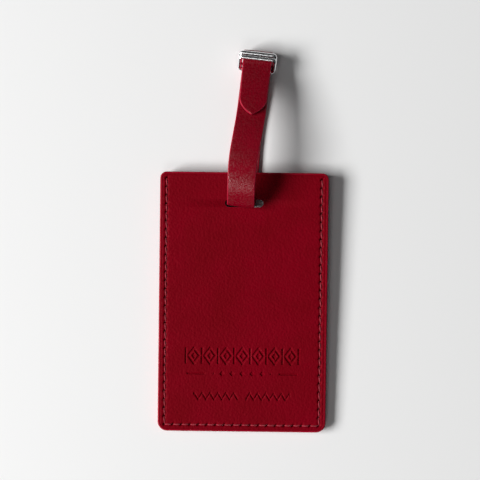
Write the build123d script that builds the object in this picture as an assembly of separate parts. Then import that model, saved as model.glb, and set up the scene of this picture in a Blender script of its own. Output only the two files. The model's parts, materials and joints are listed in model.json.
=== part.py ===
"""Leather luggage tag with a looped strap and two slider rings, lying on a flat surface.

The tag is a flat leather pocket: a front panel, a U-shaped spacer and a back panel with a
clear window, sewn round three sides and open at the top, where the address card goes in.
The strap is one strip of leather. Its fixed end is folded round the inner bars of two wire
rings, the strip runs to the slot in the tag, through it, back along the underside, over the
far end and under the outer bars of the rings, and its pointed tail lies on top.

Millimetres, +Z up, +Y along the tag towards the strap. The object rests on Z = 0, with the
origin in the middle of its box. The tag lies a little nose-down, because the strap passes
under its top edge, and the strap leans to one side as far as its slot lets it.
"""
from build123d import *
import os
from math import asin, acos, atan2, cos, sin, radians, degrees

# ---- tag ------------------------------------------------------------------------------
TAG_WIDTH = 70.0
TAG_HEIGHT = 108.0
TOP_CORNER = 2.7            # corner radius at the open end
BOTTOM_CORNER = 4.0         # corner radius at the sewn end
FRONT_LEATHER = 1.6
BACK_LEATHER = 1.6
SPACER_LEATHER = 0.8        # thickness of the filler, which is the depth of the pocket
EDGE_ROUND = 0.35           # rounding of the outer edges of both panels
SPACER_LEG = 5.0            # width of each leg of the U-shaped filler

SLOT_SIDE_PLAY = 2.0        # strap to the end of the slot, each side
SLOT_PLAY = 0.5             # room left in the slot's width at the strap's furthest lean
SLOT_FROM_TOP = 12.8        # middle of the slot to the tag's top edge

# ---- window and card ------------------------------------------------------------------
WINDOW_SIDE = 11.5          # window to the tag's side edge
WINDOW_TO_SLOT = 10.6       # window to the near side of the slot
WINDOW_FROM_BOTTOM = 13.0   # window to the tag's bottom edge
WINDOW_CORNER = 3.0
FILM_THICKNESS = 0.3
FILM_LAP = 2.6              # film that is glued behind the window's edge, all round
FILM_PLAY = 0.1             # room round the film in its skived recess
CARD_THICKNESS = 0.4
CARD_CORNER = 2.0
CARD_PLAY = 0.3             # card to the bottom of the pocket
CARD_SIDE_PLAY = 3.0        # card to the side of the pocket
CARD_HEADROOM = 2.66        # card to the near side of the slot

# ---- seam -----------------------------------------------------------------------------
SEAM_INSET = 2.8            # stitch line to the tag's edge
SEAM_START = 2.6            # first hole to the tag's top edge
STITCH_PITCH = 3.55
THREAD = 0.56               # thickness of the thread
HOLE = 0.9                  # diameter of a stitch hole
GROOVE_WIDTH = 1.0
FRONT_GROOVE = 0.35         # depth of the stitching groove in the front panel
BACK_GROOVE = 0.65          # deeper, so that the thread never touches the table

# ---- strap ----------------------------------------------------------------------------
STRAP_WIDTH = 12.0
STRAP_LEATHER = 1.5
STRAP_SHIFT = -1.1          # the strap lies off the middle of the slot by this
STRAP_LEAN = -5.6           # turn of the strap about the slot, seen from above
STRAP_SWING = 6.2           # its furthest turn to either side
UNDER_TAG = 1.2             # room above the strap where it passes under the top edge
SLOT_BEND = 1.35            # radius of the middle of the strap where it leaves the slot below
LAYER_GAP = 0.17            # room between layers of leather that lie on each other
TAIL_GAP = 0.45             # room between the tail and the leather below it
RING_SLOPE = 18.0           # slope of the strap where it passes through the rings
APEX_OFFSET = 2.5           # middle of the far bend beyond the rear ring's inner bar
BEHIND_LEAN = 30.0          # the front leg first leans back from the slot by this angle
BEHIND_BEND = 4.0
SHOULDER_BEND = 3.0         # radius of the tight bend that follows
ARCH_START = 48.0           # slope at which the rounder arch begins
ARCH_BEND = 15.5
CREST_START = 4.0           # slope at which the long flat crest begins
CREST_BEND = 60.0
TAIL_REACH = 36.1           # tip of the tail to the slot, along the strap
TAIL_POINT = 7.2            # length of the pointed end
TIP_FULLNESS = 0.655        # half width of the point, a little over a third of the way up it
LAP_PINCH = 20.0            # angle at which the folded end closes up behind the rings
LAP_BEND = 3.0
LAP_LENGTH = 7.0            # flat, sewn part of the folded end
LAP_STITCH_THREAD = 0.35
LAP_STITCH_GROOVE = 0.45
LAP_STITCH_ROWS = (2.0, 5.0)      # rows of stitches, from the start of the flat lap
LAP_STITCH_COUNT = 4              # holes in a row
LAP_STITCH_INSET = 1.8            # outer hole to the strap's edge
LAP_HOLE = 0.7

# ---- rings ----------------------------------------------------------------------------
RING_WIRE = 1.75
RING_SIDE_PLAY = 0.3        # strap to the inside of the ring, each side
RING_LENGTH = 6.1           # middle of one long bar to the middle of the other
BAR_PLAY = 0.1              # wire to the leather folded round it
RING_GAP = 0.09             # between the two rings
RING_REST_GAP = 0.1         # outer bar to the leather that it lies on
REAR_BAR_REACH = 57.5       # rear ring's inner bar to the slot, along the strap

# ---- worked out -----------------------------------------------------------------------
TAG_THICKNESS = FRONT_LEATHER + SPACER_LEATHER + BACK_LEATHER
POCKET_FLOOR = BACK_LEATHER
POCKET_ROOF = BACK_LEATHER + SPACER_LEATHER
SLOT_Y = TAG_HEIGHT - SLOT_FROM_TOP
SLOT_LENGTH = STRAP_WIDTH + 2 * SLOT_SIDE_PLAY
SWING = radians(STRAP_SWING)
SLOT_WIDTH = STRAP_WIDTH * sin(SWING) + STRAP_LEATHER * cos(SWING) + SLOT_PLAY
SLOT_NEAR_SIDE = SLOT_Y - SLOT_WIDTH / 2
WINDOW_WIDTH = TAG_WIDTH - 2 * WINDOW_SIDE
WINDOW_HEIGHT = SLOT_NEAR_SIDE - WINDOW_TO_SLOT - WINDOW_FROM_BOTTOM
CARD_WIDTH = TAG_WIDTH - 2 * SPACER_LEG - 2 * CARD_SIDE_PLAY
CARD_HEIGHT = SLOT_NEAR_SIDE - CARD_HEADROOM - SPACER_LEG - CARD_PLAY
RING_CORNER = RING_SIDE_PLAY + RING_WIRE / 2      # the wire is straight across the whole strap
TAG_TILT = degrees(asin((STRAP_LEATHER + UNDER_TAG) / TAG_HEIGHT))

SEAM_HALF = TAG_WIDTH / 2 - SEAM_INSET
SEAM_TOP = TAG_HEIGHT - SEAM_START
SIDE_STITCHES = round((SEAM_TOP - SEAM_INSET) / STITCH_PITCH)
BOTTOM_STITCHES = round(2 * SEAM_HALF / STITCH_PITCH)
SIDE_PITCH = (SEAM_TOP - SEAM_INSET) / SIDE_STITCHES
BOTTOM_PITCH = 2 * SEAM_HALF / BOTTOM_STITCHES


# =======================================================================================
# Tag: everything here is built flat, back face on Z = 0, bottom edge on Y = 0
# =======================================================================================
def tag_outline(height):
    """Sheet of the tag's outline, with tighter corners at the open end."""
    sheet = Rectangle(TAG_WIDTH, height, align=(Align.CENTER, Align.MIN))
    by_height = sheet.vertices().sort_by(Axis.Y)
    sheet = fillet(by_height[:2], BOTTOM_CORNER)
    by_height = sheet.vertices().sort_by(Axis.Y)
    return fillet(by_height[-2:], TOP_CORNER)


def slot_cut():
    """Stadium-shaped cutter through every layer of the tag."""
    shape = Pos(0, SLOT_Y) * SlotOverall(SLOT_LENGTH, SLOT_WIDTH)
    return Pos(0, 0, -1) * extrude(shape, TAG_THICKNESS + 2)


def hole_places():
    """Centres of all the stitch holes: down one side, along the bottom and up the other."""
    side = [SEAM_TOP - i * SIDE_PITCH for i in range(SIDE_STITCHES + 1)]
    bottom = [-SEAM_HALF + i * BOTTOM_PITCH for i in range(1, BOTTOM_STITCHES)]
    places = [(-SEAM_HALF, y) for y in side]
    places += [(x, SEAM_INSET) for x in bottom]
    places += [(SEAM_HALF, y) for y in reversed(side)]
    return places


def stitch_holes():
    """All the stitch holes as cutters through the whole tag."""
    holes = Sketch() + [Pos(x, y) * Circle(HOLE / 2) for x, y in hole_places()]
    return Pos(0, 0, -1) * extrude(holes, TAG_THICKNESS + 2)


def groove_cut(bottom, depth):
    """Stitching groove, a U of three straight cuts, from Z = bottom upwards by depth."""
    side_length = SEAM_TOP - SEAM_INSET + GROOVE_WIDTH
    side = Rectangle(GROOVE_WIDTH, side_length, align=(Align.CENTER, Align.MIN))
    foot = Rectangle(2 * SEAM_HALF + GROOVE_WIDTH, GROOVE_WIDTH)
    start = SEAM_INSET - GROOVE_WIDTH / 2
    shape = Pos(-SEAM_HALF, start) * side + Pos(SEAM_HALF, start) * side
    shape += Pos(0, SEAM_INSET) * foot
    return Pos(0, 0, bottom) * extrude(shape, depth)


def make_front_panel():
    """Front leather: slot, stitch holes and a stitching groove in its face."""
    panel = Pos(0, 0, POCKET_ROOF) * extrude(tag_outline(TAG_HEIGHT), FRONT_LEATHER)
    panel = fillet(panel.faces().sort_by(Axis.Z)[-1].edges(), EDGE_ROUND)
    panel -= slot_cut()
    panel -= groove_cut(TAG_THICKNESS - FRONT_GROOVE, FRONT_GROOVE + 1)
    panel -= stitch_holes()
    return panel


def make_pocket_spacer():
    """U-shaped filler that is sewn between the panels and guides the card."""
    pocket_width = TAG_WIDTH - 2 * SPACER_LEG
    pocket = Pos(0, SPACER_LEG) * Rectangle(pocket_width, TAG_HEIGHT, align=(Align.CENTER, Align.MIN))
    spacer = Pos(0, 0, POCKET_FLOOR) * extrude(tag_outline(TAG_HEIGHT) - pocket, SPACER_LEATHER)
    return spacer - stitch_holes()


def window_shape(margin):
    """Sheet of the window, grown by margin on every side."""
    shape = RectangleRounded(WINDOW_WIDTH + 2 * margin, WINDOW_HEIGHT + 2 * margin, WINDOW_CORNER)
    return Pos(0, WINDOW_FROM_BOTTOM + WINDOW_HEIGHT / 2) * shape


def make_back_panel():
    """Back leather: window, recess for its film, slot, stitch holes and groove."""
    panel = extrude(tag_outline(TAG_HEIGHT), BACK_LEATHER)
    panel = fillet(panel.faces().sort_by(Axis.Z)[0].edges(), EDGE_ROUND)
    panel -= Pos(0, 0, -1) * extrude(window_shape(0), BACK_LEATHER + 2)
    recess = extrude(window_shape(FILM_LAP + FILM_PLAY), FILM_THICKNESS + 1)
    panel -= Pos(0, 0, POCKET_FLOOR - FILM_THICKNESS) * recess
    panel -= slot_cut()
    panel -= groove_cut(-1, BACK_GROOVE + 1)
    panel -= stitch_holes()
    return panel


def make_window_film():
    """Clear film, flush with the inside of the back panel."""
    film = extrude(window_shape(FILM_LAP), FILM_THICKNESS)
    return Pos(0, 0, POCKET_FLOOR - FILM_THICKNESS) * film


def make_address_card():
    """Card at the bottom of the pocket, half-way between film and front leather."""
    card = extrude(RectangleRounded(CARD_WIDTH, CARD_HEIGHT, CARD_CORNER), CARD_THICKNESS)
    bottom = POCKET_FLOOR + (SPACER_LEATHER - CARD_THICKNESS) / 2
    return Pos(0, SPACER_LEG + CARD_PLAY + CARD_HEIGHT / 2, bottom) * card


def stitch_run(count, pitch, lie, crown, root):
    """One straight run of stitches as a comb, along local X from 0, thread-wide across it.

    Each stitch lies in its groove at height lie, rises to crown half-way between two holes,
    and a leg in every hole goes to height root.
    """
    half = THREAD / 2
    outline = [(-half, root), (-half, crown)]
    for i in range(count):
        outline += [((i + 0.3) * pitch, crown), ((i + 0.7) * pitch, crown)]
    outline += [(count * pitch + half, crown), (count * pitch + half, root)]
    for i in reversed(range(count)):
        outline += [((i + 1) * pitch - half, root), ((i + 1) * pitch - half, lie)]
        outline += [(i * pitch + half, lie), (i * pitch + half, root)]
    profile = Plane.XZ * make_face(Polyline(outline[:-1], close=True))
    return extrude(profile, THREAD / 2, both=True)


def make_seam_thread(lie, crown, root):
    """Thread of the whole seam: two side runs and the bottom run, joined at the corners."""
    side = stitch_run(SIDE_STITCHES, SIDE_PITCH, lie, crown, root)
    foot = stitch_run(BOTTOM_STITCHES, BOTTOM_PITCH, lie, crown, root)
    thread = Pos(-SEAM_HALF, SEAM_INSET) * foot
    for x in (-SEAM_HALF, SEAM_HALF):
        thread += Pos(x, SEAM_INSET) * Rot(0, 0, 90) * side
    return thread


# =======================================================================================
# Strap: side view in (S, Z), with S along the strap from the slot and Z above the table
# =======================================================================================
def run(length):
    """Straight stretch of the strap."""
    return ("run", length, 0.0)


def bend(radius, turn):
    """Bend of the strap: radius of its middle, and turn in degrees, anticlockwise positive."""
    return ("bend", radius, turn)


def aim(heading):
    """Unit vector of a heading in degrees, in the strap's side view."""
    return Vector(cos(radians(heading)), sin(radians(heading)))


def walk(start, heading, steps):
    """Every stop along a path of runs and bends, as (point, heading) pairs."""
    stops = [(start, heading)]
    for kind, size, turn in steps:
        if kind == "run":
            start = start + aim(heading) * size
        else:
            side = 90 if turn > 0 else -90
            centre = start + aim(heading + side) * size
            start = centre - aim(heading + turn + side) * size
        heading += turn
        stops.append((start, heading))
    return stops


def ribbon_side(stops, steps, offset):
    """One face of the strap in side view, as edges at offset to the left of the path."""
    edges = []
    for (point, heading), (after, _), (kind, size, turn) in zip(stops, stops[1:], steps):
        shift = aim(heading + 90) * offset
        if kind == "run":
            edges.append(Line(point + shift, after + shift))
        else:
            side = 90 if turn > 0 else -90
            centre = point + aim(heading + side) * size
            radius = size - offset if turn > 0 else size + offset
            edges.append(CenterArc(centre, radius, heading - side, turn))
    return edges


def ribbon(start, heading, steps):
    """Strap of even thickness along a path, as a solid in the strap's frame."""
    stops = walk(start, heading, steps)
    half = STRAP_LEATHER / 2
    caps = []
    for point, direction in (stops[0], stops[-1]):
        shift = aim(direction + 90) * half
        caps.append(Line(point + shift, point - shift))
    left = ribbon_side(stops, steps, half)
    right = ribbon_side(stops, steps, -half)
    profile = make_face(left + right + caps)
    return extrude(Plane.YZ * profile, STRAP_WIDTH / 2, both=True)


# The slot, as the strap passes it
SLOT_MIDDLE_Z = SLOT_Y * sin(radians(TAG_TILT)) + TAG_THICKNESS / 2 * cos(radians(TAG_TILT))
SLOT_MIDDLE_Y = SLOT_Y * cos(radians(TAG_TILT)) - TAG_THICKNESS / 2 * sin(radians(TAG_TILT))
SLOT_POINT = Vector(0, SLOT_MIDDLE_Z)
UP_SLOT = 90 + TAG_TILT

# The fold round the rings' inner bars: the rear ring's bar is the lower and outer one
ALONG = aim(-RING_SLOPE)
ACROSS = aim(90 - RING_SLOPE)
FOLD_BORE = RING_WIRE / 2 + BAR_PLAY
FOLD_MIDDLE = FOLD_BORE + STRAP_LEATHER / 2
FOLD_OUTSIDE = FOLD_BORE + STRAP_LEATHER
REAR_BAR = Vector(REAR_BAR_REACH, STRAP_LEATHER + LAYER_GAP + FOLD_OUTSIDE)

# The far bend, from flat on the table to the slope of the tail
TAIL_HEIGHT = FOLD_OUTSIDE + TAIL_GAP + STRAP_LEATHER / 2
APEX_RISE = sin(radians(RING_SLOPE)) * APEX_OFFSET
APEX_DROP = cos(radians(RING_SLOPE)) * (STRAP_LEATHER / 2 - REAR_BAR.Y)
APEX_BEND = (TAIL_HEIGHT - APEX_RISE - APEX_DROP) / (1 + cos(radians(RING_SLOPE)))
APEX = Vector(REAR_BAR_REACH + APEX_OFFSET, APEX_BEND + STRAP_LEATHER / 2)

# The rings lie back until one of their outer bars meets the leather
BAR_ABOVE_TAIL = TAIL_HEIGHT + STRAP_LEATHER / 2 + RING_REST_GAP + RING_WIRE / 2
RING_ON_TAIL = degrees(asin(BAR_ABOVE_TAIL / RING_LENGTH)) - RING_SLOPE
BAR_TO_APEX = APEX_BEND + STRAP_LEATHER / 2 + RING_REST_GAP + RING_WIRE / 2
FROM_APEX = REAR_BAR - APEX
APEX_COSINE = (BAR_TO_APEX**2 - FROM_APEX.length**2 - RING_LENGTH**2) / (2 * RING_LENGTH * FROM_APEX.length)
RING_ON_APEX = degrees(atan2(FROM_APEX.Y, FROM_APEX.X) - acos(APEX_COSINE))
RING_ANGLE = max(RING_ON_TAIL, RING_ON_APEX)
RING_PITCH = (RING_WIRE + RING_GAP) / sin(radians(RING_ANGLE + RING_SLOPE))
FRONT_BAR = REAR_BAR - ALONG * RING_PITCH


def front_steps():
    """Path from the slot up over the arch, round the rings' inner bars and back under itself."""
    arch = [
        bend(BEHIND_BEND, BEHIND_LEAN - TAG_TILT),
        bend(SHOULDER_BEND, ARCH_START - 90 - BEHIND_LEAN),
        bend(ARCH_BEND, CREST_START - ARCH_START),
        bend(CREST_BEND, -RING_SLOPE - CREST_START),
    ]
    fold_start = REAR_BAR + ACROSS * FOLD_MIDDLE
    arch_end = walk(SLOT_POINT, UP_SLOT, arch)[-1][0]
    rise = (fold_start - arch_end).dot(ACROSS) / aim(UP_SLOT).dot(ACROSS)
    arch_end = arch_end + aim(UP_SLOT) * rise
    pinch_sine = sin(radians(LAP_PINCH))
    closing = 2 * FOLD_MIDDLE - STRAP_LEATHER - LAYER_GAP
    closing -= (FOLD_MIDDLE + LAP_BEND) * (1 - cos(radians(LAP_PINCH)))
    fold = [
        run((fold_start - arch_end).dot(ALONG)),
        bend(FOLD_MIDDLE, -180),
        run(RING_PITCH),
        bend(FOLD_MIDDLE, -LAP_PINCH),
        run(closing / pinch_sine),
        bend(LAP_BEND, LAP_PINCH),
        run(LAP_LENGTH),
    ]
    return [run(rise)] + arch + fold


def rear_steps():
    """Path from the slot down to the table, along it, up round the far bend and down the tail."""
    turn = bend(SLOT_BEND, 90 - TAG_TILT)
    low = walk(SLOT_POINT, UP_SLOT - 180, [turn])[-1][0]
    drop = (low.Y - STRAP_LEATHER / 2) / cos(radians(TAG_TILT))
    low = low + aim(UP_SLOT - 180) * drop
    far = bend(APEX_BEND, 180 - RING_SLOPE)
    tail_start = walk(Vector(APEX.X, STRAP_LEATHER / 2), 0, [far])[-1][0]
    tail = (tail_start.X - TAIL_REACH) / cos(radians(RING_SLOPE))
    return [run(drop), turn, run(APEX.X - low.X), far, run(tail)]


def layer_plane(point):
    """Plane in the sloping layers: X across the strap, Y along it to the rings, Z out of it."""
    return Plane(origin=(0, point.X, point.Y), x_dir=(1, 0, 0), z_dir=(0, ACROSS.X, ACROSS.Y))


def tail_trim():
    """What is cut off the square end of the tail to leave its pointed arch."""
    half = STRAP_WIDTH / 2
    tip = walk(SLOT_POINT, UP_SLOT - 180, rear_steps())[-1][0]
    bulge = Vector(half * TIP_FULLNESS, TAIL_POINT * 0.36)
    right = ThreePointArc((0, 0), bulge, (half, TAIL_POINT))
    left = ThreePointArc((0, 0), (-bulge.X, bulge.Y), (-half, TAIL_POINT))
    point = make_face([left, right, Line((-half, TAIL_POINT), (half, TAIL_POINT))])
    low = Pos(0, TAIL_POINT) * Rectangle(STRAP_WIDTH + 2, TAIL_POINT + 2, align=(Align.CENTER, Align.MAX))
    return extrude(layer_plane(tip) * (low - point), STRAP_LEATHER / 2 + TAIL_GAP / 3, both=True)


def lap_rows():
    """Planes of the stitch rows, half-way through the two layers of the sewn lap."""
    lap_end = walk(SLOT_POINT, UP_SLOT, front_steps())[-1][0]
    middle = lap_end + ACROSS * (STRAP_LEATHER + LAYER_GAP) / 2
    return [layer_plane(middle + ALONG * (LAP_LENGTH - row)) for row in LAP_STITCH_ROWS]


def lap_hole_places():
    """Places of the holes of one row across the strap."""
    reach = STRAP_WIDTH / 2 - LAP_STITCH_INSET
    step = 2 * reach / (LAP_STITCH_COUNT - 1)
    return [-reach + i * step for i in range(LAP_STITCH_COUNT)]


LAP_HALF = STRAP_LEATHER + LAYER_GAP / 2        # middle of the lap to its outer faces


def make_strap():
    """The whole strap: one strip, from its folded end through the slot to its pointed tail."""
    strap = ribbon(SLOT_POINT, UP_SLOT, front_steps())
    strap += ribbon(SLOT_POINT, UP_SLOT - 180, rear_steps())
    strap -= tail_trim()
    reach = STRAP_WIDTH / 2 - LAP_STITCH_INSET
    for row in lap_rows():
        holes = Sketch() + [Pos(x, 0) * Circle(LAP_HOLE / 2) for x in lap_hole_places()]
        strap -= extrude(row * holes, LAP_HALF + TAIL_GAP / 3, both=True)
        groove = SlotOverall(2 * reach + LAP_HOLE, LAP_HOLE)
        for face in (LAP_HALF, -LAP_HALF):
            cut = extrude(row * Pos(0, 0, face) * groove, LAP_STITCH_GROOVE, both=True)
            strap -= cut
    return strap


def make_strap_end_stitches():
    """Rows of stitches across the lap, each a closed ladder of thread through both layers."""
    reach = STRAP_WIDTH / 2 - LAP_STITCH_INSET
    top = LAP_HALF - (LAP_STITCH_GROOVE - LAP_STITCH_THREAD) / 2
    places = lap_hole_places()
    ladder = Rectangle(2 * reach + LAP_STITCH_THREAD, 2 * top)
    for x, after in zip(places, places[1:]):
        cell = Rectangle(after - x - LAP_STITCH_THREAD, 2 * (top - LAP_STITCH_THREAD))
        ladder -= Pos((x + after) / 2, 0) * cell
    rows = []
    for row in lap_rows():
        upright = row * Plane.XZ * ladder
        rows.append(extrude(upright, LAP_STITCH_THREAD / 2, both=True))
    return Compound(children=[solid for row in rows for solid in row.solids()])


def make_ring(bar):
    """Rectangular wire ring, turning about its inner bar, laid back on the leather."""
    width = STRAP_WIDTH + 2 * RING_SIDE_PLAY + RING_WIRE
    loop = Pos(0, RING_LENGTH / 2) * RectangleRounded(width, RING_LENGTH, RING_CORNER)
    path = loop.face().outer_wire()
    section = Plane(origin=path @ 0, z_dir=path % 0) * Circle(RING_WIRE / 2)
    ring = sweep(section, path=path)
    return Pos(0, bar.X, bar.Y) * Rot(RING_ANGLE, 0, 0) * ring


# =======================================================================================
# Assembly: the tag tilts on its bottom edge, the strap leans about the slot
# =======================================================================================
def make_parts():
    """Every node's solid in its place, before the origin is moved to the middle of the box."""
    front_lie = TAG_THICKNESS - FRONT_GROOVE + 0.02
    front_crown = front_lie + THREAD
    back_lie = BACK_GROOVE - 0.02
    back_crown = back_lie - THREAD
    meet = TAG_THICKNESS / 2
    tag = {
        "front_panel": make_front_panel(),
        "pocket_spacer": make_pocket_spacer(),
        "back_panel": make_back_panel(),
        "window_film": make_window_film(),
        "address_card": make_address_card(),
        "seam_needle_thread": make_seam_thread(front_lie, front_crown, meet + 0.02),
        "seam_bobbin_thread": make_seam_thread(back_lie, back_crown, meet - 0.02),
    }
    strap = {
        "strap": make_strap(),
        "strap_end_stitches": make_strap_end_stitches(),
        "ring_front": make_ring(FRONT_BAR),
        "ring_rear": make_ring(REAR_BAR),
    }
    tilt = Rot(TAG_TILT, 0, 0)
    lean = Pos(STRAP_SHIFT, SLOT_MIDDLE_Y, 0) * Rot(0, 0, STRAP_LEAN)
    placed = {name: tilt * solid for name, solid in tag.items()}
    placed.update({name: lean * solid for name, solid in strap.items()})
    return placed


def main():
    """Build every node, centre the object on its origin and write the STEP files."""
    placed = make_parts()
    boxes = [solid.bounding_box() for solid in placed.values()]
    low = [min(tuple(box.min)[axis] for box in boxes) for axis in range(3)]
    high = [max(tuple(box.max)[axis] for box in boxes) for axis in range(3)]
    centre = Pos(-(low[0] + high[0]) / 2, -(low[1] + high[1]) / 2, -low[2])
    os.makedirs("parts", exist_ok=True)
    for name, solid in placed.items():
        export_step(centre * solid, f"parts/{name}.step")
    frame = centre * Pos(STRAP_SHIFT, SLOT_MIDDLE_Y, 0) * Rot(0, 0, STRAP_LEAN)
    print("tilt of the tag", round(TAG_TILT, 4), "ring angle", round(RING_ANGLE, 3))
    print("strap pivot", (centre * Pos(STRAP_SHIFT, SLOT_MIDDLE_Y, SLOT_MIDDLE_Z)).position)
    for name, bar in (("front", FRONT_BAR), ("rear", REAR_BAR)):
        print(name, "ring axis through", (frame * Pos(0, bar.X, bar.Y)).position)


main()
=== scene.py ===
"""Red leather luggage tag with a looped strap and two wire rings, dressed round its CAD frame.

The tag's pieces are built flat, in millimetres, with the sewn end on Y = 0 and the back face on
Z = 0, and are then tilted into the frame. The strap and its rings are built in the strap's own
frame, with Y along the strap from the slot and Z above the table, and are then leaned.
"""
from __future__ import annotations

import json
import logging
from dataclasses import dataclass
from enum import Enum
from math import atan2, cos, exp, hypot, pi, radians, sin

import bmesh
import bpy
import numpy as np
from mathutils import Matrix, Vector
from mathutils.geometry import tessellate_polygon


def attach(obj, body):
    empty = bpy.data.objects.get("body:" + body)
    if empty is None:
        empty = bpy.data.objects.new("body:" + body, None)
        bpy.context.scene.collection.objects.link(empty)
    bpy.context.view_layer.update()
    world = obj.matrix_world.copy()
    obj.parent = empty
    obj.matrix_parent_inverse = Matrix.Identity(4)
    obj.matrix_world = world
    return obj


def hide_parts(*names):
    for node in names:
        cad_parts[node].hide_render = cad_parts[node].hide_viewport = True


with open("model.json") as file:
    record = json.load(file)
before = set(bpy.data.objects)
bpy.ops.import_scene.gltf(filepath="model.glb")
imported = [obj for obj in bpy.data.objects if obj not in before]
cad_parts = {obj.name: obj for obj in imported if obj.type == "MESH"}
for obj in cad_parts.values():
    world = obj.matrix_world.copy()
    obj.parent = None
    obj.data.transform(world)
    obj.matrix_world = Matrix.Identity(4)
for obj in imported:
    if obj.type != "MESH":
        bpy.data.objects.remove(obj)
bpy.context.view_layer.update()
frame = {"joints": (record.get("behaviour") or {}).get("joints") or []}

MM = 0.001
WELD = 2e-6            # points nearer than this become one, in metres
SLIVER = 5e-7          # edges shorter than this are taken out, in metres
LOG = logging.getLogger("luggage_tag")

Array = np.ndarray
Material = bpy.types.Material
Node = bpy.types.Node
Piece = bpy.types.Object
Socket = bpy.types.NodeSocket
Tree = bpy.types.NodeTree


# ---------------------------------------------------------------------------------------------
# Places: how the flat tag and the straight strap stand in the frame
# ---------------------------------------------------------------------------------------------
def joint_named(name: str) -> dict:
    """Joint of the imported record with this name."""
    return next(joint for joint in frame["joints"] if joint["name"] == name)


@dataclass(frozen=True)
class Place:
    """A local frame in millimetres and where it stands in the scene.

    Attributes:
        turn: Rotation matrix, three by three.
        origin: Place of the local origin, in metres.
    """

    turn: Array
    origin: Array

    def world(self, points: Array) -> Array:
        """Local points in millimetres as scene points: turned, scaled to metres and moved."""
        return points.reshape(-1, 3) @ self.turn.T * MM + self.origin


def tag_place(slot_y: float, half_thickness: float) -> Place:
    """Place of the flat tag, tilted about the X axis along the card's sliding direction.

    Args:
        slot_y: Middle of the slot above the tag's bottom edge.
        half_thickness: Half of the tag's thickness.

    Returns:
        The place that brings the middle of the slot to the height and reach of the strap's pivot.
    """
    slide = joint_named("card_slide")["axis"]
    tilt = atan2(slide[2], slide[1])
    turn = np.array(Matrix.Rotation(tilt, 3, "X"))
    pivot = np.array([0.0, *joint_named("strap_swivel")["pos_m"][1:]])
    return Place(turn, pivot - turn @ np.array([0.0, slot_y, half_thickness]) * MM)


def strap_place() -> Place:
    """Place of the straight strap: leaned about the upright axis through the slot."""
    across = joint_named("front_ring_tilt")["axis"]
    turn = np.array(Matrix.Rotation(atan2(across[1], across[0]), 3, "Z"))
    pivot = joint_named("strap_swivel")["pos_m"]
    return Place(turn, np.array([pivot[0], pivot[1], 0.0]))


# ---------------------------------------------------------------------------------------------
# Surfaces
# ---------------------------------------------------------------------------------------------
class Finish(Enum):
    """Which material slot a stretch of a piece's surface takes."""

    FACE = 0
    EDGE = 1
    FLESH = 2


class Surface:
    """Points and faces of one piece, gathered from grids and flat fills."""

    def __init__(self) -> None:
        """Start with no points and no faces."""
        self.points: list[Array] = []
        self.faces: list[Array] = []
        self.finishes: list[Array] = []
        self.count = 0

    def _keep(self, points: Array, faces: Array, finish: Finish) -> None:
        """Add points with their faces, whose numbers count from the first of these points."""
        self.points.append(points.reshape(-1, 3))
        self.faces.append(faces + self.count)
        self.finishes.append(np.full(len(faces), finish.value))
        self.count += len(points.reshape(-1, 3))

    def grid(self, points: Array, finish: Finish = Finish.FACE, closed: bool = False) -> None:
        """Add a surface on a grid of points.

        Args:
            points: Array of rows by columns by 3.
            finish: Slot of its faces.
            closed: Join the last column to the first.
        """
        rows, columns = points.shape[:2]
        number = np.arange(rows * columns).reshape(rows, columns)
        if closed:
            number = np.hstack([number, number[:, :1]])
        corners = [number[:-1, :-1], number[:-1, 1:], number[1:, 1:], number[1:, :-1]]
        self._keep(points, np.stack([c.ravel() for c in corners], axis=1), finish)

    def fill(self, loops: list[Array], finish: Finish = Finish.FACE) -> None:
        """Add a flat face bounded by the first loop, with the other loops as holes in it.

        Args:
            loops: Closed loops of points, each an array of n by 3 at one height.
            finish: Slot of its faces.
        """
        triangles = np.array(tessellate_polygon([[Vector(p) for p in loop] for loop in loops]))
        self._keep(np.vstack(loops), np.hstack([triangles, triangles[:, :1]]), finish)

    def slab(self, loops: list[Array], finish: Finish = Finish.FACE) -> None:
        """Add two flat faces, on the first and the last loop, and the edge through all loops.

        Args:
            loops: Loops of as many points each, n by 3, each at one height.
            finish: Slot of the two flat faces.
        """
        self.grid(np.array(loops), closed=True)
        self.fill([loops[0]], finish)
        self.fill([loops[-1]], finish)

    def build(self, name: str, place: Place, materials: list[Material],
              smooth_angle: float = 40.0) -> Piece:
        """Make the piece: weld its seams, point its faces outwards and smooth it.

        Args:
            name: Name of the object.
            place: Where the local frame stands.
            materials: One for each finish, in order.
            smooth_angle: Edges sharper than this stay sharp, in degrees.

        Returns:
            The new object, with its place in its mesh.
        """
        points = place.world(np.vstack(self.points))
        faces = np.vstack(self.faces)
        plain = [list(dict.fromkeys(face)) for face in faces.tolist()]
        mesh = bpy.data.meshes.new(name)
        mesh.from_pydata(points.tolist(), [], plain)
        mesh.polygons.foreach_set("material_index", np.concatenate(self.finishes))
        work = bmesh.new()
        work.from_mesh(mesh)
        bmesh.ops.remove_doubles(work, verts=work.verts, dist=WELD)
        bmesh.ops.dissolve_degenerate(work, edges=work.edges, dist=SLIVER)
        bmesh.ops.recalc_face_normals(work, faces=work.faces)
        work.to_mesh(mesh)
        work.free()
        for material in materials:
            mesh.materials.append(material)
        mesh.shade_smooth()
        mesh.set_sharp_from_angle(angle=radians(smooth_angle))
        piece = bpy.data.objects.new(name, mesh)
        bpy.context.scene.collection.objects.link(piece)
        return piece


def settle(piece: Piece, body: str, slot: str, *nodes: str) -> Piece:
    """Make a piece ride on a body and stand for CAD nodes, and log it."""
    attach(piece, body)
    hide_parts(*nodes)
    LOG.info("%s: %d faces, rides on %s", piece.name, len(piece.data.polygons), body)
    return piece


def at_height(loop: Array, z: float) -> Array:
    """Plane loop of points, n by 2, lifted to one height."""
    return np.column_stack([loop, np.full(len(loop), z)])


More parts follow.
